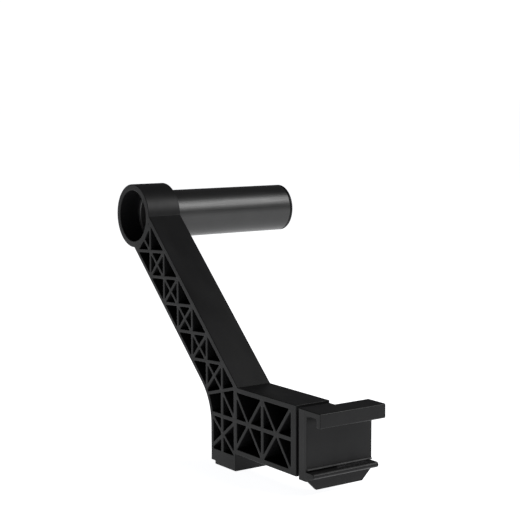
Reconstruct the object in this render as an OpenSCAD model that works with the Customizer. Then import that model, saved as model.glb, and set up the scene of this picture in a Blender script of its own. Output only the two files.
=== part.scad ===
// Clip-on spool holder stand: a ribbed leaning arm that carries a tube for a spool and
// hangs on the edge of a slotted aluminium profile.
// Frame: X runs along the profile and along the tube, +Y points away from the profile,
// Z is up. The origin is on the line where the profile's top edge sits under the hook,
// half way along the clip plate.

/* [Placement] */
// Horizontal distance from the profile's face to the tube's axis
reach = 183; // [160:1:210]
// Height of the tube's axis above the profile's top
rise = 94.7; // [85:0.1:105]
// Width of the arm and the base, along X
body_w = 23; // [20:0.1:30]
// Width of the neck between the base and the clip plate
neck_w = 21.4; // [19:0.1:24]

/* [Boss and tube] */
// Outer radius of the boss
boss_r = 20; // [19.5:0.1:24]
// Radius of the bore through the boss
bore_r = 16.15; // [15.5:0.05:16.5]
// Radius of the spool tube
tube_r = 15.2; // [13:0.05:15.6]
// Wall thickness of the spool tube
tube_wall = 1.6; // [1:0.05:2.5]
// How far the tube's closed end stands off the boss
tube_out = 92; // [70:1:130]
// Depth from the open face to the inner end of the tube's socket
socket_depth = 13.5; // [8:0.5:14]

/* [Arm] */
// Horizontal run of one lattice bay
bay_run = 15.95; // [12:0.05:18]
// Height of one lattice bay
bay_rise = 14.88; // [11:0.01:17]
// Number of bays between the boss and the base
bays = 5; // [4:1:6]
// Slope of the arm's two long faces (rise over run)
arm_slope = 0.94; // [0.85:0.01:1.05]
// Thickness of the arm's upper wall
top_wall = 3.3; // [2:0.1:4]
// Thickness of the arm's under wall and the base's back wall
back_wall = 2.6; // [1.6:0.1:4]
// Thickness of the lattice ribs
rib_t = 2.1; // [1.2:0.1:3]
// Thickness of the closed web behind the lattice
web_t = 2.4; // [1.6:0.1:4]
// Radius of the blend between the arm's under face and the base's back
knee_r = 32.5; // [20:0.5:40]

/* [Base] */
// Height of the base, from its top to its lower face
base_h = 39.4; // [34:0.2:46]
// Height of the base's top above the profile's top
base_top = 4.1; // [3.6:0.1:8]
// Thickness of the base's top and lower walls
base_wall = 3.1; // [2:0.1:4]
// Depth of the foot under the base's lower face
foot_h = 10.3; // [4:0.1:16]
// Thickness of the end wall that holds the dovetail
end_wall = 4.9; // [4.5:0.1:8]
// Width of each of the two braced bays
bay_w = 26.9; // [22:0.1:32]

/* [Clip] */
// Width of the clip plate along the profile
plate_w = 45; // [36:0.5:60]
// Thickness of the clip plate
plate_t = 3.5; // [3:0.1:5]
// Height of the clip plate below the profile's top
plate_h = 30.2; // [26:0.1:32]
// Thickness of the hook above the profile
hook_t = 3.2; // [2:0.1:5]
// Reach of the hook over the profile, to the lip's front
hook_reach = 11.7; // [10:0.1:13]
// Thickness of the lip that drops into the profile's top slot
lip_t = 3.4; // [2:0.1:4.5]
// Depth of the lip
lip_h = 5; // [3:0.1:6]
// How far the latch's nose enters the profile's side slot
nose_reach = 6.1; // [3:0.1:7]
// Gap between the neck and the end wall
neck_gap = 1.9; // [0.5:0.1:3]

/* [Hidden] */
$fn = 96;
eps = 0.01;
fit = 0.05;          // radial clearance of the socket in the bore
slide_fit = 0.15;    // clearance of the dovetail on each side
clear = 0.3;         // clearance between pieces that only pass each other
face_x = -plate_w / 2;

// Stations of the base along Y, from the profile's face to the base's back
neck_y = plate_t + 4.3;
end_y = neck_y + neck_gap;
wall_y = end_y + end_wall;
post_3 = wall_y + bay_w;
post_2 = post_3 + bay_w;
post_1 = post_2 + 13.6;
back_y = post_1 + 11.8;

// Levels of the base
base_low = base_top - base_h;
foot_low = base_low - foot_h;
mid_z = base_top - 19.6;
cell_low = base_low - 1.2;
knee_low = base_top - 8.2;
toe = 4.1;           // small step at the foot's back edge
toe_h = 1.9;
mid_t = 2.6;         // thickness of the level rib through the base
post_t = 3.4;        // thickness of the post above the foot's front
brace_top = base_top - base_wall + 0.6;
brace_low = base_low + base_wall - 0.6;
knee_steps = 12;

// Arm: lattice node below the boss, and the two long faces
node_y = reach - 21.05;
node_z = rise - 20.6;
rib_drop = 0.9;      // each level rib falls this much from the upper to the under face
face_off = 19.7;     // height of the upper face over the tube's axis
back_off = 18.9;     // depth of the under face below the tube's axis
lean = atan(arm_slope);
across = [-sin(lean), cos(lean)];
arm_head = 14;       // the faces start this far in front of and behind the axis
tangent = knee_r * tan((90 - lean) / 2);

// Socket, bayonet and cap
lug_h = 1.6;
lug_w = 3;
lug_x = socket_depth + 2;
lug_angle = 22;
turn_angle = 40;
collar_w = 2.6;      // the collar flares from the boss out to the tube
collar_flare = 1;
nose_len = 16;
cap_t = 2.5;
cap_edge = 1;
cap_skirt = 8;
skirt_wall = 1.6;
spigot_in = tube_r - tube_wall;
tube_x = body_w + collar_w;
tube_end = body_w + tube_out - cap_t;

// Dovetail between the neck and the end wall
tail_narrow = 8;
tail_wide = 11.6;
tail_depth = 3.4;
tail_top = -4;
neck_low = base_low - 1.1;
tail_mid = face_x + neck_w / 2;
neck_step = 0.3;     // the neck's side stands back from the plate's end
ledge_h = 1;         // small ledge along the plate's lower edge
ledge_out = 0.6;
gusset_t = 2.2;

// Latch: leaf, bar, nose and tongue
leaf_t = 1.5;
leaf_y = 2.2;
leaf_w = 14;
leaf_x = (neck_w - leaf_w) / 2;
leaf_top = -5;
pocket_d = 4;
bar_t = 1.8;
bar_top = -plate_h - 0.5;
bar_foot = 3;
nose_low = bar_top - 3;
nose_edge = 0.9;
tongue_top = bar_top - 4.5;
tongue_low = bar_top - 10.8;
tongue_taper = 6.6;

// A flat bar from one point to another, as a 2D shape
module bar(from, to, t) {
    run = to - from;
    translate(from)
        rotate(atan2(run[1], run[0]))
            translate([-t / 2, -t / 2])
                square([norm(run) + t, t]);
}

// Extrudes a 2D outline, drawn in Y and Z, along X from depth x
module slab(x, w) {
    translate([face_x + x, 0, 0])
        rotate([90, 0, 90])
            linear_extrude(w)
                children();
}

// A cylinder or cone on the tube's axis, from depth x
module on_axis(x, w, r, r_end = -1) {
    translate([face_x + x, reach, rise])
        rotate([0, 90, 0])
            cylinder(h = w, r1 = r, r2 = r_end < 0 ? r : r_end);
}

// Part of a ring round the tube's axis, from depth x
module ring_sector(x, w, r_in, r_out, start, angle) {
    translate([face_x + x, reach, rise])
        rotate([0, 90, 0])
            rotate([0, 0, start])
                rotate_extrude(angle = angle)
                    translate([r_in, 0])
                        square([r_out - r_in, w]);
}

// Height of the arm's long faces at a given Y, and where the upper one meets a height
function upper_z(y) = rise + face_off + (y - reach) * arm_slope;
function under_z(y) = rise - back_off + (y - reach) * arm_slope;
function upper_y(z) = reach + (z - rise - face_off) / arm_slope;

// Lattice nodes of level k: the middle, and the ends at the upper and the under face
function mid(k) = [node_y - k * bay_run, node_z - k * bay_rise];
function front(k) = mid(k) + [-bay_run, rib_drop];
function back(k) = mid(k) + [bay_run, -rib_drop];

// Blend between the arm's under face and the base's back, from the back upwards
knee = [back_y, under_z(back_y)];
knee_mid = knee + [knee_r, -tangent];
function knee_arc(r, steps) = [
    for (i = steps)
        let (a = 180 - i * (90 - lean) / knee_steps)
            knee_mid + r * [cos(a), sin(a)]
];
throat = [upper_y(base_top), base_top];

// Side view of the bracket without its boss
module side_outline() {
    below = [
        throat,
        [end_y, base_top],
        [end_y, base_low],
        [post_2, base_low],
        [post_2, foot_low],
        [back_y - toe, foot_low],
        [back_y - toe, foot_low + toe_h],
        [back_y, foot_low + toe_h]
    ];
    head = [
        [reach + arm_head, under_z(reach + arm_head)],
        [reach - arm_head, upper_z(reach - arm_head)]
    ];
    polygon(concat(below, knee_arc(knee_r, [0 : knee_steps]), head));
}

// Walls that follow the side outline
module wall_outline() {
    upper_inset = -across * top_wall / 2;
    under_top = [reach, under_z(reach)];
    bar([reach - arm_head, upper_z(reach - arm_head)] + upper_inset, throat + upper_inset, top_wall);
    polygon(concat(
        [[back_y, foot_low + toe_h]],
        knee_arc(knee_r, [0 : knee_steps]),
        [under_top, under_top + across * back_wall],
        knee_arc(knee_r + back_wall, [knee_steps : -1 : 0]),
        [[back_y - back_wall, foot_low + toe_h]]
    ));
    translate([end_y, base_low])
        square([end_wall, base_h]);
    translate([end_y, base_top - base_wall])
        square([throat[0] - end_y, base_wall]);
    translate([end_y, base_low])
        square([post_2 - end_y, base_wall]);
    translate([post_2, foot_low])
        square([back_y - post_2, cell_low - foot_low]);
}

// Ribs of the arm
module arm_ribs() {
    for (k = [-1 : bays - 1]) {
        bar(back(k), front(k), rib_t);
        bar(mid(k), mid(k + 1), rib_t);
        bar(back(k + 1), front(k), rib_t);
        bar(front(k - 1), [mid(k)[0], back(k + 1)[1]], rib_t);
    }
    bar([back_y + 2, knee_low], [post_2, base_top - 0.8], rib_t);
}

// Ribs of the base
module base_ribs() {
    for (y = [post_1, post_3])
        bar([y, base_low], [y, base_top - base_wall], mid_t);
    bar([post_1, base_top - base_wall], [post_1, front(bays - 1)[1]], rib_t);
    bar([post_2, base_low], [post_2, base_top - base_wall], post_t);
    bar([end_y, mid_z], [back_y, mid_z], mid_t);
    bar(mid(bays), [post_2, mid_z], rib_t);
    bar([back_y, mid_z], [post_2, cell_low], rib_t);
    bar([back_y - back_wall, cell_low + 2.5], [post_2, mid_z - 1], rib_t);
    for (y = [wall_y, post_3]) {
        bar([y, brace_top], [y + bay_w, brace_low], rib_t);
        bar([y, brace_low], [y + bay_w, brace_top], rib_t);
    }
}

// Dovetail section, widening towards +Y
module tail(grow) {
    polygon([
        [-tail_narrow / 2 - grow, 0],
        [tail_narrow / 2 + grow, 0],
        [tail_wide / 2 + grow, tail_depth + grow],
        [-tail_wide / 2 - grow, tail_depth + grow]
    ]);
}

module arm_bracket() {
    color("#242426")
    difference() {
        union() {
            slab(0, body_w)
                intersection() {
                    side_outline();
                    union() {
                        wall_outline();
                        arm_ribs();
                        base_ribs();
                    }
                }
            slab(body_w - web_t, web_t)
                side_outline();
            on_axis(0, body_w, boss_r);
        }
        on_axis(-1, body_w + 2, bore_r);
        bayonet_slots();
        dovetail_socket();
    }
}

// Two slots in the bore: a turn that the lugs lock in, and a deeper entry to it along X
module bayonet_slots() {
    for (start = [0, 180]) {
        ring_sector(lug_x - clear, lug_w + 2 * clear, bore_r - 1, bore_r + lug_h + clear,
            start - 1, turn_angle + lug_angle + 3);
        ring_sector(lug_x + 1, body_w - lug_x, bore_r - 1, bore_r + lug_h + 2 * clear,
            start + turn_angle - 1, lug_angle + 2);
    }
}

// Groove up the end wall, open at the bottom and closed by its top, where the rail stops
module dovetail_socket() {
    groove_h = tail_top + slide_fit - base_low + 1;
    translate([tail_mid, end_y, base_low - 1])
        linear_extrude(groove_h)
            tail(slide_fit);
    translate([tail_mid - tail_narrow / 2 - slide_fit, end_y - 1, base_low - 1])
        cube([tail_narrow + 2 * slide_fit, 1 + eps, groove_h]);
}

module tube_socket() {
    spigot_r = bore_r - fit;
    nose_in = spigot_in - 2;
    color("#1f1f21")
    difference() {
        union() {
            on_axis(socket_depth, body_w + clear - socket_depth + eps, spigot_r);
            on_axis(body_w + clear, collar_w - clear, tube_r - collar_flare, tube_r - fit);
            on_axis(tube_x - eps, nose_len, spigot_in);
            for (start = [0, 180])
                ring_sector(lug_x, lug_w, spigot_r - 1, bore_r + lug_h, start, lug_angle);
        }
        on_axis(socket_depth - 1, body_w - socket_depth + 1, spigot_in);
        on_axis(body_w - eps, collar_w + nose_len + 1, nose_in);
    }
}

module spool_tube() {
    color("#4a4a4c")
    difference() {
        on_axis(tube_x, tube_end - tube_x, tube_r);
        on_axis(tube_x - 1, tube_end - tube_x + 2, spigot_in);
    }
}

module end_cap() {
    color("#1f1f21") {
        on_axis(tube_end, cap_t - cap_edge, tube_r);
        on_axis(tube_end + cap_t - cap_edge - eps, cap_edge + eps, tube_r, tube_r - cap_edge);
        difference() {
            on_axis(tube_end - cap_skirt, cap_skirt + eps, spigot_in);
            on_axis(tube_end - cap_skirt - 1, cap_skirt + 1, spigot_in - skirt_wall);
        }
    }
}

module clip_adapter() {
    color("#262628") {
        difference() {
            union() {
                slab(0, plate_w)
                    clip_outline();
                slab(neck_step, neck_w - neck_step)
                    translate([plate_t - eps, neck_low])
                        square([neck_y - plate_t + eps, hook_t - neck_low]);
            }
            leaf_pocket();
        }
        translate([tail_mid, end_y, neck_low])
            linear_extrude(tail_top - neck_low)
                union() {
                    tail(0);
                    translate([-tail_narrow / 2, neck_y - end_y - eps])
                        square([tail_narrow, end_y - neck_y + 2 * eps]);
                }
        for (z = [-9, -22])
            translate([face_x + neck_w - eps, plate_t - eps, z])
                linear_extrude(gusset_t)
                    polygon([[0, 0], [plate_w - neck_w - 4, 0], [0, neck_y - plate_t]]);
    }
}

// Plate, hook, lip and ledge in side view
module clip_outline() {
    polygon([
        [plate_t, hook_t],
        [-hook_reach, hook_t],
        [-hook_reach, -lip_h],
        [-hook_reach + lip_t, -lip_h],
        [-hook_reach + lip_t, 0],
        [0, 0],
        [0, -plate_h + ledge_h],
        [-ledge_out, -plate_h + ledge_h - ledge_out],
        [-ledge_out, -plate_h],
        [plate_t, -plate_h]
    ]);
}

// Room inside the neck for the latch's leaf to swing
module leaf_pocket() {
    translate([face_x + leaf_x - 2 * clear, leaf_y - clear, neck_low - 1])
        cube([leaf_w + 4 * clear, pocket_d, leaf_top + clear - neck_low + 1]);
}

module release_latch() {
    color("#262628")
    difference() {
        union() {
            slab(leaf_x, leaf_w)
                translate([leaf_y, bar_top - bar_foot])
                    square([leaf_t, leaf_top - bar_top + bar_foot]);
            slab(leaf_x, leaf_w)
                translate([bar_t - eps, bar_top - bar_foot])
                    square([leaf_y + leaf_t - bar_t, bar_foot]);
            slab(0, plate_w)
                latch_outline();
        }
        tongue_corner();
        mirror([1, 0, 0])
            tongue_corner();
    }
}

// Bar, nose and tongue of the latch in side view
module latch_outline() {
    polygon([
        [bar_t, bar_top],
        [-nose_reach + nose_edge, bar_top],
        [-nose_reach, bar_top - nose_edge],
        [-nose_reach, nose_low + nose_edge],
        [-nose_reach + nose_edge, nose_low],
        [0, tongue_top],
        [0, tongue_low],
        [bar_t, tongue_low]
    ]);
}

// Wedge cut off the tongue's -X side
module tongue_corner() {
    translate([face_x, bar_t + 1, 0])
        rotate([90, 0, 0])
            linear_extrude(bar_t + 2)
                polygon([
                    [-1, tongue_top],
                    [0, tongue_top],
                    [tongue_taper, tongue_low],
                    [tongue_taper, tongue_low - 1],
                    [-1, tongue_low - 1]
                ]);
}

arm_bracket();
tube_socket();
spool_tube();
end_cap();
clip_adapter();
release_latch();
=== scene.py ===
"""Looks, light and camera for the clip-on spool holder stand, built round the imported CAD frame.

Every size is in metres and every place is in the frame of the CAD model: X along the
profile and the tube, +Y away from the profile, Z up.
"""
import math

import bmesh
import bpy
from mathutils import Matrix, Vector
from mathutils.geometry import tessellate_polygon


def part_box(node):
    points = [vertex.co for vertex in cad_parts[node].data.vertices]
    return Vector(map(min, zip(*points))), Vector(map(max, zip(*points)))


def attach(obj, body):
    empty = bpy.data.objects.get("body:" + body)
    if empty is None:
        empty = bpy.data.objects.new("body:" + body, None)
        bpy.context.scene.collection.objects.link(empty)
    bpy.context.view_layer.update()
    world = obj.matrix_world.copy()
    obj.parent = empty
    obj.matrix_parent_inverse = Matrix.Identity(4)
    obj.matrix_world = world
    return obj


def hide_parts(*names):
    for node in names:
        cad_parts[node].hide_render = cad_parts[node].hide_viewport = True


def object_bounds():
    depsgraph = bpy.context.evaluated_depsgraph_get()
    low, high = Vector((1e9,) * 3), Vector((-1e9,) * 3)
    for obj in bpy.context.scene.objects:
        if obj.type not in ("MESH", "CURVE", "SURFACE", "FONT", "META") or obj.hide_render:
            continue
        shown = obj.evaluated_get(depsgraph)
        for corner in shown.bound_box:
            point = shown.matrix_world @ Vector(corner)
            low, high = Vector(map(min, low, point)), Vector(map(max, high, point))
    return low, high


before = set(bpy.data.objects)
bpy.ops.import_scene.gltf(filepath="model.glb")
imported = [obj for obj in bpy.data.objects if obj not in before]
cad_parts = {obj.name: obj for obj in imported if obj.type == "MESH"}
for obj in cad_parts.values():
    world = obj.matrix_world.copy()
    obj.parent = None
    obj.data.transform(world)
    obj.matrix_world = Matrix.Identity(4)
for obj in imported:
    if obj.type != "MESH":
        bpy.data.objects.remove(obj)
CAD_LOW, CAD_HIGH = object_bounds()

# Finish that a mould leaves: rounded edges, filled corners, draft and floor fillets
EDGE = 0.00035
CORNER = 0.0003
DRAFT = 0.012
FLOOR_FILLET = 0.0006
ROUND_STEPS = 3
TURN_STEP = math.radians(20)
CORNER_TURN = math.radians(12)
ARC_STEP = math.radians(2.5)
WELD = 2e-6

# Bracket: web behind the lattice, bore, bayonet slots and dovetail groove
WEB = 0.0024
BORE_R = 0.01615
SLOT_DEPTH = 0.0152
SLOT_W = 0.0036
SLOT_R = 0.01805
ENTRY_R = 0.01835
LUG_ANGLE = 22
TURN_ANGLE = 40
TAIL_X = -0.0118
TAIL_NARROW = 0.0083
TAIL_WIDE = 0.0119
TAIL_DEPTH = 0.00355
TAIL_TOP = -0.00385
TAIL_PAST = 0.0005
ENTRY_IN = 0.0013
LUG_SIDES = (0, 180)
CUT_PAST = 0.001

# Clip: neck, rail, gussets and leaf pocket
CLIP_CORNER = 0.0009
NECK_IN = 0.0003
NECK_W = 0.0214
NECK_FRONT = 0.001
NECK_BACK = 0.0078
PLATE_T = 0.0035
RAIL_FIT = 0.00015
BRIDGE_PAST = 0.0002
POCKET_FRONT = 0.0019
POCKET_D = 0.004
POCKET_SIDE = 0.0031
POCKET_TOP = -0.0047
GUSSET_LEVELS = (-0.009, -0.022)
GUSSET_T = 0.0022
GUSSET_SHORT = 0.004

# Latch: nose, tongue and leaf
NOSE_CORNER = 0.0008
TONGUE_CORNER = 0.0006
TONGUE_TAPER = 0.0066
LEAF_SIDE = 0.0037
LEAF_W = 0.014
LEAF_Y = 0.0022
LEAF_FOOT = 0.003
FOOT_FRONT = 0.001

# Socket, tube and cap
TUBE_WALL = 0.0016
COLLAR_FLARE = 0.001
COLLAR_GAP = 0.0003
SPIGOT_FIT = 0.00005
NOSE_WALL = 0.002
LUG_H = 0.0016
LUG_W = 0.003
LUG_IN = 0.002
CAP_ROUND = 0.001
CAP_STEPS = 6
CAP_SKIRT = 0.0016
TUBE_SIDES = 144
RIM = 0.0003

# Studio
FLOOR_GLOW = 0.95
AMBIENT = 0.08
BACKDROP = 1.05
FLOOR_HALF = 60.0
KEY_WAY = (0.53, -0.56, 0.6)
KEY_DISTANCE = 1.5
KEY_SIZE = (1.2, 0.55)
KEY_POWER = 16

# Camera: where it stands and where it looks
CAMERA_PLACE = (-0.45316, -0.57089, 0.16875)
CAMERA_AZIMUTH = -35.056
CAMERA_PITCH = 6.763
CAMERA_ROLL = -0.214
CAMERA_LENS = 94.79


# ---------------------------------------------------------------- meshes
def new_piece(name, mesh, body, slot, *nodes):
    """Links a mesh as a piece that rides on a body and stands for CAD nodes."""
    piece = bpy.data.objects.new(name, mesh)
    bpy.context.scene.collection.objects.link(piece)
    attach(piece, body)
    if nodes:
        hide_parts(*nodes)
    return piece


def smooth(piece):
    """Smooth shading whose normals follow the large flat faces."""
    mesh = piece.data
    if "custom_normal" in mesh.attributes:
        mesh.attributes.remove(mesh.attributes["custom_normal"])
    mesh.shade_smooth()
    weighted = piece.modifiers.new("flat_faces", "WEIGHTED_NORMAL")
    weighted.weight = 80
    weighted.keep_sharp = False


def face_loops(node, x):
    """Closed outlines, as lists of (y, z), of the node's flat face in the plane at x."""
    shape = bmesh.new()
    shape.from_mesh(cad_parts[node].data)
    bmesh.ops.remove_doubles(shape, verts=shape.verts, dist=WELD)
    flat = {f for f in shape.faces if all(abs(v.co.x - x) < WELD for v in f.verts)}
    after = {}
    for face in flat:
        for corner in face.loops:
            if sum(f in flat for f in corner.edge.link_faces) == 1:
                after[corner.vert] = corner.link_loop_next.vert
    loops = []
    while after:
        first = min(after, key=lambda v: v.index)
        loop = [first]
        here = after.pop(first)
        while here is not first:
            loop.append(here)
            here = after.pop(here)
        loops.append(tidy([Vector((v.co.y, v.co.z)) for v in loop]))
    shape.free()
    return sorted(loops, key=area, reverse=True)


def area(loop):
    """Area inside a closed outline, positive if it runs anticlockwise."""
    pairs = zip(loop, loop[1:] + loop[:1])
    return sum(a.x * b.y - b.x * a.y for a, b in pairs) / 2


def turn_at(loop, k):
    """Signed turn of an outline at its point k."""
    before, here, after = loop[k - 1], loop[k], loop[(k + 1) % len(loop)]
    a, b = here - before, after - here
    return math.atan2(a.x * b.y - a.y * b.x, a.dot(b))


def tidy(loop):
    """Drops repeated points and points on straight runs, and winds the outline anticlockwise."""
    kept = [p for k, p in enumerate(loop) if (p - loop[k - 1]).length > 10 * WELD]
    kept = [p for k, p in enumerate(kept) if abs(turn_at(kept, k)) > math.radians(0.5)]
    return kept if area(kept) > 0 else kept[::-1]


def refined(loop, centre, radius):
    """Adds points along those stretches that lie on a circle."""
    fine = []
    for k, here in enumerate(loop):
        after = loop[(k + 1) % len(loop)]
        fine.append(here)
        if any(abs((p - centre).length - radius) > 5 * WELD for p in (here, after)):
            continue
        a, b = here - centre, after - centre
        sweep = math.atan2(a.x * b.y - a.y * b.x, a.dot(b))
        steps = max(1, round(abs(sweep) / ARC_STEP))
        for j in range(1, steps):
            fine.append(centre + Matrix.Rotation(sweep * j / steps, 2) @ a)
    return fine


def circle(centre, radius, sides=TUBE_SIDES):
    """A round outline."""
    turns = (2 * math.pi * k / sides for k in range(sides))
    return [centre + radius * Vector((math.cos(t), math.sin(t))) for t in turns]


def outline(loop, grow=0.0, corner=CORNER):
    """The outline moved outwards by grow, with its sharp corners rounded."""
    count = len(loop)
    ahead = [(loop[(k + 1) % count] - loop[k]).normalized() for k in range(count)]
    moved = []
    for k, p in enumerate(loop):
        a, b = ahead[k - 1], ahead[k]
        out = Vector((a.y + b.y, -a.x - b.x)) / (1 + a.dot(b))
        moved.append(p + grow * out)
    rounded = []
    for k, p in enumerate(moved):
        turn = turn_at(loop, k)
        if abs(turn) < CORNER_TURN:
            rounded.append(p)
            continue
        a, b = ahead[k - 1], ahead[k]
        room = min((p - moved[k - 1]).length, (p - moved[(k + 1) % count]).length) * 0.45
        bend = abs(math.tan(turn / 2))
        radius = max(corner + (grow if turn > 0 else -grow), corner * 0.5)
        reach = min(radius * bend, room)
        radius = reach / bend
        start = p - a * reach
        side = Vector((-a.y, a.x)) * (1 if turn > 0 else -1)
        middle = start + side * radius
        steps = max(2, math.ceil(abs(turn) / TURN_STEP))
        for j in range(steps + 1):
            rounded.append(middle + Matrix.Rotation(turn * j / steps, 2) @ (start - middle))
    return rounded


def ring(shape, loop, x):
    """The outline's points as vertices in the plane at x."""
    return [shape.verts.new((x, p.x, p.y)) for p in loop]


def strip(shape, rings):
    """Joins each ring to the next with a band of faces."""
    for here, there in zip(rings, rings[1:]):
        for k in range(len(here)):
            shape.faces.new((here[k - 1], here[k], there[k], there[k - 1]))


def fill(shape, rings):
    """Fills the flat region inside the first ring and outside the others."""
    flat = [[Vector((v.co.y, v.co.z, 0)) for v in ring] for ring in rings]
    every = [v for ring in rings for v in ring]
    for corners in tessellate_polygon(flat):
        shape.faces.new([every[k] for k in corners])


def rounding(edge):
    """(inset, depth) steps of a quarter round, from the flat face to the wall."""
    turns = (math.pi / 2 * k / ROUND_STEPS for k in range(ROUND_STEPS + 1))
    return [(edge * (1 - math.sin(t)), edge * (1 - math.cos(t))) for t in turns]


def wall(shape, loop, start, end, edge, sign, corner=CORNER):
    """Rings of a wall along X with both rims rounded. sign is -1 outside and 1 in a hole."""
    rings = [ring(shape, outline(loop, sign * g, corner), start + d) for g, d in rounding(edge)]
    rings += [
        ring(shape, outline(loop, sign * g, corner), end - d) for g, d in rounding(edge)[::-1]
    ]
    strip(shape, rings)
    return rings[0], rings[-1]


def pocket(shape, loop, start, floor, edge):
    """A blind pocket with a rounded rim, drafted walls and a filleted floor. Returns its rim."""
    rings = [ring(shape, outline(loop, g), start + d) for g, d in rounding(edge)]
    lean = -DRAFT * (floor - start)
    for g, d in rounding(FLOOR_FILLET)[::-1]:
        inset = lean - FLOOR_FILLET + (FLOOR_FILLET - g)
        rings.append(ring(shape, outline(loop, inset, CORNER), floor - d))
    strip(shape, rings)
    shape.faces.new(rings[-1])
    return rings[0]


def finished(shape, name):
    """Turns the bmesh into a closed mesh with outward faces."""
    bmesh.ops.recalc_face_normals(shape, faces=shape.faces)
    mesh = bpy.data.meshes.new(name)
    shape.to_mesh(mesh)
    shape.free()
    return mesh


def prism(name, loop, start, end, edge=EDGE, corner=CORNER):
    """A closed bar along X with that section."""
    shape = bmesh.new()
    near, far = wall(shape, loop, start, end, edge, -1, corner)
    fill(shape, [near])
    fill(shape, [far])
    return finished(shape, name)


def tool(mesh):
    """A passing object for a boolean."""
    thing = bpy.data.objects.new("tool", mesh)
    bpy.context.scene.collection.objects.link(thing)
    return thing


def merged(mesh, others, operation):
    """The mesh after a boolean with each of the others in turn."""
    base = tool(mesh)
    helpers = [tool(other) for other in others]
    for helper in helpers:
        step = base.modifiers.new("step", "BOOLEAN")
        step.operation = operation
        step.solver = "MANIFOLD"
        step.object = helper
    graph = bpy.context.evaluated_depsgraph_get()
    result = bpy.data.meshes.new_from_object(base.evaluated_get(graph))
    for thing in [base] + helpers:
        bpy.data.objects.remove(thing)
    return result


def sector(name, axis, x_range, r_range, angles):
    """Part of a ring round the tube's axis. Angles run from -Z towards +Y."""
    shape = bmesh.new()
    steps = 16
    ends = []
    for k in range(steps + 1):
        t = math.radians(angles[0] + (angles[1] - angles[0]) * k / steps)
        way = Vector((math.sin(t), -math.cos(t)))
        spots = [(x, axis + way * r) for x in x_range for r in r_range]
        a, b, c, d = [shape.verts.new((x, p.x, p.y)) for x, p in spots]
        ends.append([a, b, d, c])
    strip(shape, ends)
    shape.faces.new(ends[0])
    shape.faces.new(ends[-1])
    return finished(shape, name)


def lathe(name, profile, axis, hollow=True):
    """Turns a profile of (x, radius) points round the tube's axis.

    A hollow one runs back to its start; a solid one ends in a flat disc at each end.
    """
    shape = bmesh.new()
    rings = [ring(shape, circle(axis, r), x) for x, r in profile]
    if hollow:
        strip(shape, rings + rings[:1])
    else:
        strip(shape, rings)
        shape.faces.new(rings[0])
        shape.faces.new(rings[-1])
    return finished(shape, name)


# ---------------------------------------------------------------- materials
class Nodes:
    """A short way to build a material's node tree."""

    def __init__(self, name):
        self.material = bpy.data.materials.new(name)
        self.material.use_nodes = True
        self.tree = self.material.node_tree
        self.shader = self.tree.nodes["Principled BSDF"]

    def add(self, kind, **values):
        node = self.tree.nodes.new(kind)
        for key, value in values.items():
            if hasattr(node, key):
                setattr(node, key, value)
            else:
                node.inputs[key.replace("_", " ")].default_value = value
        return node

    def link(self, a, out, b, into):
        self.tree.links.new(a.outputs[out], b.inputs[into])

    def place(self, scale=(1, 1, 1)):
        """Object coordinates, stretched by scale."""
        where = self.add("ShaderNodeTexCoord")
        stretch = self.add("ShaderNodeMapping")
        stretch.inputs["Scale"].default_value = scale
        self.link(where, "Object", stretch, "Vector")
        return stretch

    def noise(self, place, scale, detail=3, rough=0.5):
        cloud = self.add("ShaderNodeTexNoise")
        cloud.inputs["Scale"].default_value = scale
        cloud.inputs["Detail"].default_value = detail
        cloud.inputs["Roughness"].default_value = rough
        self.link(place, "Vector", cloud, "Vector")
        return cloud

    def spread(self, source, out, low, high, start=0.0, end=1.0):
        """Maps a value from start..end to low..high."""
        ramp = self.add("ShaderNodeMapRange")
        ramp.inputs["From Min"].default_value = start
        ramp.inputs["From Max"].default_value = end
        ramp.inputs["To Min"].default_value = low
        ramp.inputs["To Max"].default_value = high
        self.link(source, out, ramp, "Value")
        return ramp

    def blend(self, source, out, dark, pale):
        mix = self.add("ShaderNodeMix", data_type="RGBA")
        mix.inputs["A"].default_value = (*dark, 1)
        mix.inputs["B"].default_value = (*pale, 1)
        self.tree.links.new(source.outputs[out], mix.inputs["Factor"])
        return mix

    def bump(self, source, out, strength, distance, under=None):
        relief = self.add("ShaderNodeBump")
        relief.inputs["Strength"].default_value = strength
        relief.inputs["Distance"].default_value = distance
        self.link(source, out, relief, "Height")
        if under:
            self.link(under, "Normal", relief, "Normal")
        return relief


def moulded_plastic(name, dark, pale, rough_low, rough_high):
    """Black moulded plastic: spark-eroded grain, faint flow marks and uneven sheen."""
    m = Nodes(name)
    place = m.place()
    clouds = m.noise(place, 38, 4)
    grain = m.noise(place, 2600, 2, 0.6)
    flow = m.noise(m.place((1, 0.35, 0.35)), 90, 3)
    colour = m.blend(m.spread(clouds, "Fac", 0, 1, 0.3, 0.7), "Result", dark, pale)
    m.tree.links.new(colour.outputs["Result"], m.shader.inputs["Base Color"])
    rough = m.spread(flow, "Fac", rough_low, rough_high, 0.3, 0.7)
    m.link(rough, "Result", m.shader, "Roughness")
    waves = m.bump(clouds, "Fac", 0.12, 0.0004)
    relief = m.bump(grain, "Fac", 0.22, 0.00005, waves)
    m.link(relief, "Normal", m.shader, "Normal")
    m.shader.inputs["IOR"].default_value = 1.46
    m.shader.inputs["Specular IOR Level"].default_value = 0.18
    return m.material


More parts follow.
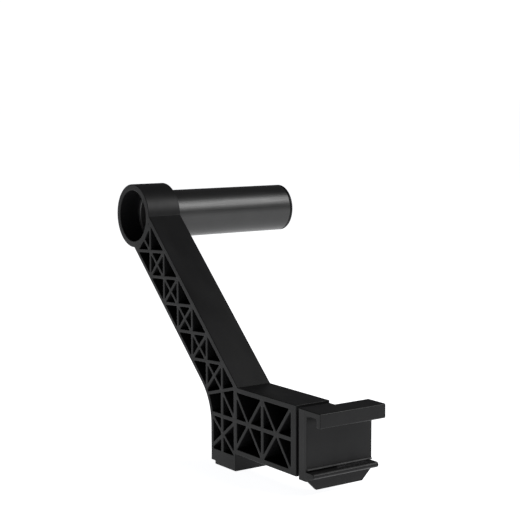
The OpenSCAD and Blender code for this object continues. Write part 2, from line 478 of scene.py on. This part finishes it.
def satin_tube(name, dark, pale):
    """Smooth dark grey tube with a metallic sheen and fine lines along its length."""
    m = Nodes(name)
    lines = m.noise(m.place((0.03, 1, 1)), 1600, 3)
    clouds = m.noise(m.place(), 30, 3)
    colour = m.blend(m.spread(clouds, "Fac", 0, 1, 0.3, 0.7), "Result", dark, pale)
    m.tree.links.new(colour.outputs["Result"], m.shader.inputs["Base Color"])
    rough = m.spread(lines, "Fac", 0.33, 0.41, 0.3, 0.7)
    m.link(rough, "Result", m.shader, "Roughness")
    relief = m.bump(lines, "Fac", 0.08, 0.00002)
    m.link(relief, "Normal", m.shader, "Normal")
    m.shader.inputs["Metallic"].default_value = 0.85
    return m.material


def floor_paint():
    """Plain pale floor."""
    m = Nodes("floor_paint")
    clouds = m.noise(m.place(), 3, 2)
    colour = m.blend(clouds, "Fac", (0.86, 0.87, 0.88), (0.9, 0.9, 0.9))
    m.tree.links.new(colour.outputs["Result"], m.shader.inputs["Base Color"])
    m.shader.inputs["Roughness"].default_value = 0.9
    m.shader.inputs["Specular IOR Level"].default_value = 0.1
    m.shader.inputs["Emission Color"].default_value = (0.985, 0.99, 1, 1)
    m.shader.inputs["Emission Strength"].default_value = FLOOR_GLOW
    return m.material


# ---------------------------------------------------------------- pieces
BLACK = (0.0065, 0.0065, 0.0068)
CHARCOAL = (0.010, 0.010, 0.0104)
TUBE_GREY = ((0.046, 0.046, 0.046), (0.056, 0.056, 0.056))
# Socket grey is partly painted highlight: a lighter copy of the tube's satin finish that stands in
# for the light the collar catches
COLLAR_GREY_AND_PAINTED_HIGHLIGHT = ((0.17, 0.17, 0.17), (0.2, 0.2, 0.2))


def tube_axis():
    """(y, z) of the tube's axis, from the tube's own box."""
    low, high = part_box("spool_tube")
    return Vector(((low[1] + high[1]) / 2, (low[2] + high[2]) / 2))


def build_bracket():
    low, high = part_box("arm_bracket")
    axis = tube_axis()
    boss_r = high[2] - axis.y
    outer, *cells = face_loops("arm_bracket", low[0])
    cells = [c for c in cells if abs((c[0] - axis).length - BORE_R) > 10 * WELD]
    shape = bmesh.new()
    near, far = wall(shape, refined(outer, axis, boss_r), low[0], high[0], EDGE, -1)
    bore_near, bore_far = wall(shape, circle(axis, BORE_R), low[0], high[0], EDGE, 1)
    rims = [pocket(shape, refined(c, axis, boss_r), low[0], high[0] - WEB, EDGE) for c in cells]
    fill(shape, [near, bore_near] + rims)
    fill(shape, [far, bore_far])
    mesh = finished(shape, "bracket")
    slot_x = low[0] + SLOT_DEPTH
    cuts = []
    inside = BORE_R - CUT_PAST
    for side in LUG_SIDES:
        turned = side + TURN_ANGLE
        cuts.append(sector("turn", axis, (slot_x, slot_x + SLOT_W), (inside, SLOT_R),
                           (side - 1, turned + LUG_ANGLE + 2)))
        cuts.append(sector("entry", axis, (slot_x + ENTRY_IN, high[0] + CUT_PAST),
                           (inside, ENTRY_R), (turned - 1, turned + LUG_ANGLE + 1)))
    cuts.append(tail_bar("groove", TAIL_NARROW, TAIL_WIDE, low[1] - TAIL_PAST,
                         TAIL_DEPTH + TAIL_PAST, low[2], TAIL_TOP))
    mesh = merged(mesh, cuts, "DIFFERENCE")
    mesh.materials.clear()
    mesh.materials.append(moulded_plastic("bracket_plastic", BLACK, CHARCOAL, 0.36, 0.46))
    smooth(new_piece("bracket", mesh, "bracket", "bracket_plastic", "arm_bracket"))


def tail_bar(name, narrow, wide, y, depth, bottom, top):
    """A dovetail bar that stands along Z and widens towards +Y."""
    shape = bmesh.new()
    section = ((-narrow / 2, y), (narrow / 2, y), (wide / 2, y + depth), (-wide / 2, y + depth))
    levels = [[shape.verts.new((TAIL_X + x, y, z)) for x, y in section] for z in (bottom, top)]
    strip(shape, levels)
    for level in levels:
        shape.faces.new(level)
    return finished(shape, name)


def block(name, low, high):
    """A plain box, for booleans."""
    shape = bmesh.new()
    bmesh.ops.create_cube(shape, size=1)
    for v in shape.verts:
        v.co = [low[k] + (v.co[k] + 0.5) * (high[k] - low[k]) for k in range(3)]
    return finished(shape, name)


def rectangle(low, high):
    """A rectangular outline in (y, z)."""
    return [Vector(p) for p in (low, (high[0], low[1]), high, (low[0], high[1]))]


def gusset(side, level, end):
    """A triangular web between the neck's side and the back of the plate."""
    shape = bmesh.new()
    inner, front, tip = side - CUT_PAST, PLATE_T - CUT_PAST, end - GUSSET_SHORT
    corners = ((inner, front), (tip, front), (tip, PLATE_T), (side, NECK_BACK), (inner, NECK_BACK))
    levels = [[shape.verts.new((x, y, z)) for x, y in corners] for z in (level, level + GUSSET_T)]
    strip(shape, levels)
    for face in levels:
        shape.faces.new(face)
    return finished(shape, "gusset")


def build_clip():
    plastic = moulded_plastic("clip_plastic", BLACK, CHARCOAL, 0.34, 0.44)
    low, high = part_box("clip_adapter")
    section = face_loops("clip_adapter", high[0])[0]
    plate = prism("clip", section, low[0], high[0], EDGE, CLIP_CORNER)
    neck_side = low[0] + NECK_IN
    neck_end = low[0] + NECK_W
    neck = prism("neck", rectangle((NECK_FRONT, low[2]), (NECK_BACK, high[2])),
                 neck_side, neck_end)
    end_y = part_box("arm_bracket")[0][1]
    rail = tail_bar("rail", TAIL_NARROW - 2 * RAIL_FIT, TAIL_WIDE - 2 * RAIL_FIT, end_y,
                    high[1] - end_y, low[2], TAIL_TOP - RAIL_FIT)
    half = TAIL_NARROW / 2 - RAIL_FIT
    bridge = block("bridge", (TAIL_X - half, NECK_BACK - CUT_PAST, low[2]),
                   (TAIL_X + half, end_y + BRIDGE_PAST, TAIL_TOP - RAIL_FIT))
    ribs = [gusset(neck_end, z, high[0]) for z in GUSSET_LEVELS]
    mesh = merged(plate, [neck, bridge, rail] + ribs, "UNION")
    room = block("room", (low[0] + POCKET_SIDE, POCKET_FRONT, low[2] - CUT_PAST),
                 (neck_end - POCKET_SIDE, POCKET_FRONT + POCKET_D, POCKET_TOP))
    mesh = merged(mesh, [room], "DIFFERENCE")
    mesh.materials.clear()
    mesh.materials.append(plastic)
    smooth(new_piece("clip", mesh, "clip", "clip_plastic", "clip_adapter"))
    build_latch(plastic)


def across_y(mesh):
    """Swaps X and Y, so that a bar along X becomes one along Y."""
    for v in mesh.vertices:
        v.co = (v.co.y, v.co.x, v.co.z)
    mesh.flip_normals()
    return mesh


def build_latch(plastic):
    low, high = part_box("release_latch")
    section = face_loops("release_latch", high[0])[0]
    bar_t = max(p.x for p in section)
    bar_top = max(p.y for p in section)
    bar = prism("latch", section, low[0], high[0], EDGE, NOSE_CORNER)
    tongue_top = min(p.y for p in section)
    tongue = [
        Vector((low[0] + TONGUE_TAPER, low[2])), Vector((high[0] - TONGUE_TAPER, low[2])),
        Vector((high[0], tongue_top)), Vector((high[0], tongue_top + bar_t)),
        Vector((low[0], tongue_top + bar_t)), Vector((low[0], tongue_top)),
    ]
    plate = across_y(prism("tongue", tongue, 0.0, bar_t, EDGE, TONGUE_CORNER))
    leaf_low = low[0] + LEAF_SIDE
    leaf_high = leaf_low + LEAF_W
    foot_low = bar_top - LEAF_FOOT
    leaf = prism("leaf", rectangle((LEAF_Y, foot_low), (high[1], high[2])),
                 leaf_low, leaf_high, EDGE / 2)
    foot = prism("foot", rectangle((FOOT_FRONT, foot_low), (high[1], bar_top)),
                 leaf_low, leaf_high, EDGE / 2)
    mesh = merged(bar, [plate, foot, leaf], "UNION")
    mesh.materials.clear()
    mesh.materials.append(plastic)
    smooth(new_piece("latch", mesh, "latch", "clip_plastic", "release_latch"))


def build_tube():
    low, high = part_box("spool_tube")
    axis = tube_axis()
    r_out = (high[2] - low[2]) / 2
    r_in = r_out - TUBE_WALL
    profile = [
        (low[0], r_in), (high[0], r_in), (high[0], r_out),
        (low[0] + RIM, r_out), (low[0] + RIM * 0.3, r_out - RIM * 0.3), (low[0], r_out - RIM),
    ]
    mesh = lathe("tube", profile, axis)
    mesh.materials.append(satin_tube("tube_plastic", *TUBE_GREY))
    smooth(new_piece("tube", mesh, "tube", "tube_plastic", "spool_tube"))
    build_socket(axis, r_out, r_in)
    build_cap(axis, r_out, r_in)


def build_socket(axis, tube_r, tube_in):
    """Collar, spigot with its two lugs, and the nose that holds the tube."""
    low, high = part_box("tube_socket")
    boss_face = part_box("arm_bracket")[1][0]
    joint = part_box("spool_tube")[0][0]
    spigot_r = BORE_R - SPIGOT_FIT
    nose_in = tube_in - NOSE_WALL
    near = boss_face + COLLAR_GAP
    profile = [
        (low[0] + RIM, spigot_r), (low[0], spigot_r - RIM), (low[0], tube_in + RIM),
        (low[0] + RIM, tube_in), (boss_face - RIM, tube_in), (boss_face, tube_in - RIM),
        (boss_face, nose_in), (high[0], nose_in), (high[0], tube_in - RIM),
        (high[0] - RIM, tube_in), (joint, tube_in), (joint, tube_r - RIM * 0.8),
        (joint - RIM * 0.5, tube_r - RIM * 0.5), (near, tube_r - COLLAR_FLARE),
        (near, spigot_r - RIM), (near - RIM, spigot_r),
    ]
    body = lathe("socket", profile, axis)
    lug_x = low[0] + LUG_IN
    lugs = [
        sector("lug", axis, (lug_x, lug_x + LUG_W), (spigot_r - CUT_PAST, BORE_R + LUG_H),
               (side, side + LUG_ANGLE))
        for side in LUG_SIDES
    ]
    mesh = merged(body, lugs, "UNION")
    mesh.materials.clear()
    # the lighter grey paints in the collar's highlight over the tube's satin finish
    mesh.materials.append(satin_tube("socket_plastic", *COLLAR_GREY_AND_PAINTED_HIGHLIGHT))
    smooth(new_piece("socket", mesh, "tube", "socket_plastic", "tube_socket"))


def build_cap(axis, tube_r, tube_in):
    """Flush cap with a rounded rim and a skirt inside the tube."""
    low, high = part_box("end_cap")
    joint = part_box("spool_tube")[1][0]
    skirt_in = tube_in - CAP_SKIRT
    turns = [math.pi / 2 * k / CAP_STEPS for k in range(CAP_STEPS + 1)]
    rim = [
        (high[0] - CAP_ROUND * (1 - math.sin(t)), tube_r - CAP_ROUND * (1 - math.cos(t)))
        for t in turns
    ]
    skirt = [(joint, skirt_in), (low[0], skirt_in), (low[0], tube_in), (joint, tube_in)]
    mesh = lathe("cap", skirt + [(joint, tube_r)] + rim, axis, hollow=False)
    mesh.materials.append(moulded_plastic("cap_plastic", BLACK, CHARCOAL, 0.3, 0.4))
    smooth(new_piece("cap", mesh, "tube", "socket_plastic", "end_cap"))


# ---------------------------------------------------------------- studio
def build_floor():
    mesh = bpy.data.meshes.new("floor")
    signs = ((-1, -1), (1, -1), (1, 1), (-1, 1))
    corners = [(x * FLOOR_HALF, y * FLOOR_HALF, CAD_LOW[2]) for x, y in signs]
    mesh.from_pydata(corners, [], [(0, 1, 2, 3)])
    floor = bpy.data.objects.new("floor", mesh)
    bpy.context.scene.collection.objects.link(floor)
    mesh.materials.append(floor_paint())


def soft_light(name, place, target, size, power):
    """A soft box at place that faces target."""
    lamp = bpy.data.lights.new(name, "AREA")
    lamp.shape = "RECTANGLE"
    lamp.size, lamp.size_y = size
    lamp.energy = power
    box = bpy.data.objects.new(name, lamp)
    bpy.context.scene.collection.objects.link(box)
    box.location = place
    aim = Vector(target) - Vector(place)
    box.rotation_euler = aim.to_track_quat("-Z", "Y").to_euler()


def build_light():
    centre = (Vector(CAD_LOW) + Vector(CAD_HIGH)) / 2
    place = centre + KEY_DISTANCE * Vector(KEY_WAY)
    soft_light("key_strip", place, centre, KEY_SIZE, KEY_POWER)
    world = bpy.data.worlds.new("studio")
    bpy.context.scene.world = world
    world.use_nodes = True
    tree = world.node_tree
    back = tree.nodes["Background"]
    rays = tree.nodes.new("ShaderNodeLightPath")
    mix = tree.nodes.new("ShaderNodeMix")
    mix.data_type = "RGBA"
    mix.inputs["A"].default_value = (AMBIENT, AMBIENT, AMBIENT * 1.03, 1)
    mix.inputs["B"].default_value = (BACKDROP, BACKDROP, BACKDROP, 1)
    tree.links.new(rays.outputs["Is Camera Ray"], mix.inputs["Factor"])
    tree.links.new(mix.outputs["Result"], back.inputs["Color"])
    bpy.context.scene.view_settings.view_transform = "Standard"


def build_camera():
    azimuth, pitch, roll = (math.radians(v) for v in (CAMERA_AZIMUTH, CAMERA_PITCH, CAMERA_ROLL))
    back = Vector((
        math.sin(azimuth) * math.cos(pitch),
        -math.cos(azimuth) * math.cos(pitch),
        math.sin(pitch),
    ))
    right = (-back).cross(Vector((0, 0, 1))).normalized()
    up = right.cross(-back)
    level = Matrix((right, up, back)).transposed()
    turned = level @ Matrix.Rotation(roll, 3, "Z")
    lens = bpy.data.cameras.new("camera")
    lens.lens = CAMERA_LENS
    camera = bpy.data.objects.new("camera", lens)
    bpy.context.scene.collection.objects.link(camera)
    camera.matrix_world = Matrix.Translation(CAMERA_PLACE) @ turned.to_4x4()
    bpy.context.scene.camera = camera


build_bracket()
build_clip()
build_tube()
build_floor()
build_light()
build_camera()
